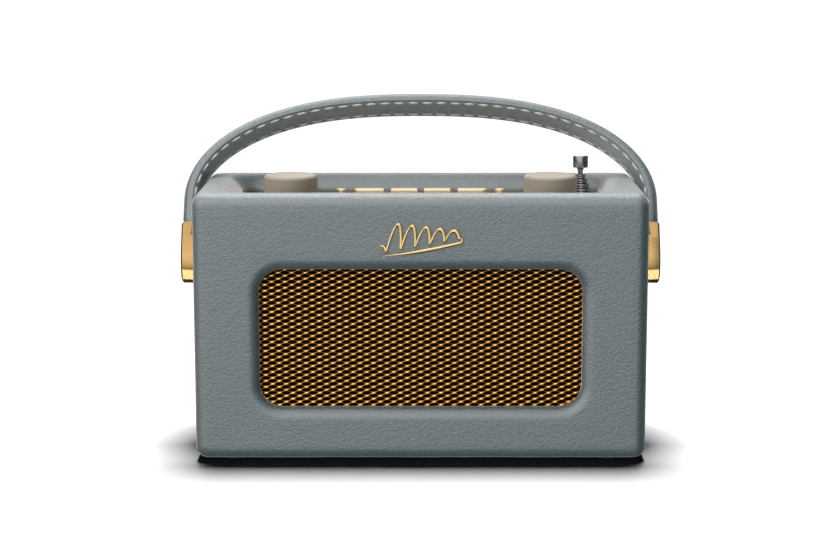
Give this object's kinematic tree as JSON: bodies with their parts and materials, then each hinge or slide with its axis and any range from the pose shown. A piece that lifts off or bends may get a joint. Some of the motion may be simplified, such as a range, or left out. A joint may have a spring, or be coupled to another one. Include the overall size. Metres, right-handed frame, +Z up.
{
  "type": "portable radio",
  "caption": "Leather-covered portable radio with a brass grille, top knobs and push buttons, a telescopic aerial and a stitched carry strap that swings over.",
  "frame": {"origin": "on the floor, under the middle of the whole object's box", "axes": "+X to the right as seen from the front, front faces -Y, +Z up"},
  "size_m": [0.229, 0.0932, 0.1664],
  "materials": {
    "leather": "pebbled, satin",
    "wood": "bare board",
    "brass": "polished",
    "grille_brass": "expanded sheet, lacquered",
    "panel_brass": "satin",
    "cream": "satin moulding",
    "champagne": "satin anodised",
    "chrome": "polished",
    "steel": "plated",
    "black_plastic": "moulded",
    "cloth": "open black scrim",
    "paper": "pressed pulp",
    "board": "circuit board",
    "rubber": "moulded",
    "glass": "tinted window"
  },
  "bodies": {
    "radio": {"leather_cover": "leather", "back_panel": "leather", "cabinet": "wood", "baffle_board": "wood", "badge": "brass", "handle_screw_left": "brass", "handle_screw_right": "brass", "handle_washer_left": "brass", "handle_washer_right": "brass", "handle_bush_left": "brass", "handle_bush_right": "brass", "back_screw_1": "brass", "back_screw_2": "brass", "back_screw_3": "brass", "back_screw_4": "brass", "grille_mesh": "grille_brass", "control_panel": "panel_brass", "grille_cloth": "cloth", "speaker_frame": "steel", "speaker_magnet": "steel", "volume_encoder": "steel", "tuning_encoder": "steel", "speaker_cone": "paper", "speaker_dust_cap": "paper", "antenna_bush": "chrome", "display_module": "black_plastic", "battery_tray": "black_plastic", "battery_pack": "black_plastic", "dc_socket": "black_plastic", "headphone_socket": "black_plastic", "control_board": "board", "main_board": "board", "foot_1": "rubber", "foot_2": "rubber", "foot_3": "rubber", "foot_4": "rubber", "display_lens": "glass"},
    "handle": {"handle_strap": "leather", "handle_lining": "leather", "handle_core": "steel", "handle_fitting_left": "brass", "handle_fitting_right": "brass"},
    "volume_knob": {"volume_knob": "cream", "volume_shaft": "steel"},
    "tuning_plunger": {"tuning_plunger": "black_plastic"},
    "tuning_knob": {"tuning_knob": "cream", "tuning_shaft": "steel"},
    "preset_1": {"preset_button_1": "champagne"},
    "preset_2": {"preset_button_2": "champagne"},
    "preset_3": {"preset_button_3": "champagne"},
    "preset_4": {"preset_button_4": "champagne"},
    "power_button": {"power_button": "champagne"},
    "alarm_button": {"alarm_button": "champagne"},
    "antenna_tube_1": {"antenna_tube_1": "chrome"},
    "antenna_tube_2": {"antenna_tube_2": "chrome"},
    "antenna_tube_3": {"antenna_tube_3": "chrome"},
    "antenna_rod": {"antenna_rod": "chrome", "antenna_tip": "chrome"},
    "battery_door": {"battery_door": "black_plastic"}
  },
  "joints": [
    {"name": "handle_swing", "type": "hinge", "parent": "radio", "child": "handle", "pos_m": [0, -0.00318, 0.086], "axis": [1, 0, 0], "range_deg": [0, 57.2]},
    {"name": "volume_turn", "type": "hinge", "parent": "radio", "child": "volume_knob", "pos_m": [-0.0619, -0.00318, 0.1167], "axis": [0, 0, 1], "continuous": true},
    {"name": "tuning_push", "type": "slide", "parent": "radio", "child": "tuning_plunger", "axis": [0, 0, -1], "range_m": [0, 0.0005], "stiffness_N_per_m": 600},
    {"name": "tuning_turn", "type": "hinge", "parent": "tuning_plunger", "child": "tuning_knob", "pos_m": [0.0619, -0.00318, 0.1167], "axis": [0, 0, 1], "continuous": true},
    {"name": "preset_1_press", "type": "slide", "parent": "radio", "child": "preset_1", "axis": [0, 0, -1], "range_m": [0, 0.0008], "stiffness_N_per_m": 400},
    {"name": "preset_2_press", "type": "slide", "parent": "radio", "child": "preset_2", "axis": [0, 0, -1], "range_m": [0, 0.0008], "stiffness_N_per_m": 400},
    {"name": "preset_3_press", "type": "slide", "parent": "radio", "child": "preset_3", "axis": [0, 0, -1], "range_m": [0, 0.0008], "stiffness_N_per_m": 400},
    {"name": "preset_4_press", "type": "slide", "parent": "radio", "child": "preset_4", "axis": [0, 0, -1], "range_m": [0, 0.0008], "stiffness_N_per_m": 400},
    {"name": "power_button_press", "type": "slide", "parent": "radio", "child": "power_button", "axis": [0, 0, -1], "range_m": [0, 0.0008], "stiffness_N_per_m": 400},
    {"name": "alarm_button_press", "type": "slide", "parent": "radio", "child": "alarm_button", "axis": [0, 0, -1], "range_m": [0, 0.0008], "stiffness_N_per_m": 400},
    {"name": "antenna_slide_1", "type": "slide", "parent": "radio", "child": "antenna_tube_1", "axis": [0, 0, 1], "range_m": [0, 0.075]},
    {"name": "antenna_slide_2", "type": "slide", "parent": "antenna_tube_1", "child": "antenna_tube_2", "axis": [0, 0, 1], "range_m": [0, 0.075]},
    {"name": "antenna_slide_3", "type": "slide", "parent": "antenna_tube_2", "child": "antenna_tube_3", "axis": [0, 0, 1], "range_m": [0, 0.075]},
    {"name": "antenna_slide_4", "type": "slide", "parent": "antenna_tube_3", "child": "antenna_rod", "axis": [0, 0, 1], "range_m": [0, 0.075]},
    {"name": "battery_door_swing", "type": "hinge", "parent": "radio", "child": "battery_door", "pos_m": [0, 0.03622, 0.0206], "axis": [-1, 0, 0], "range_deg": [0, 90]}
  ]
}
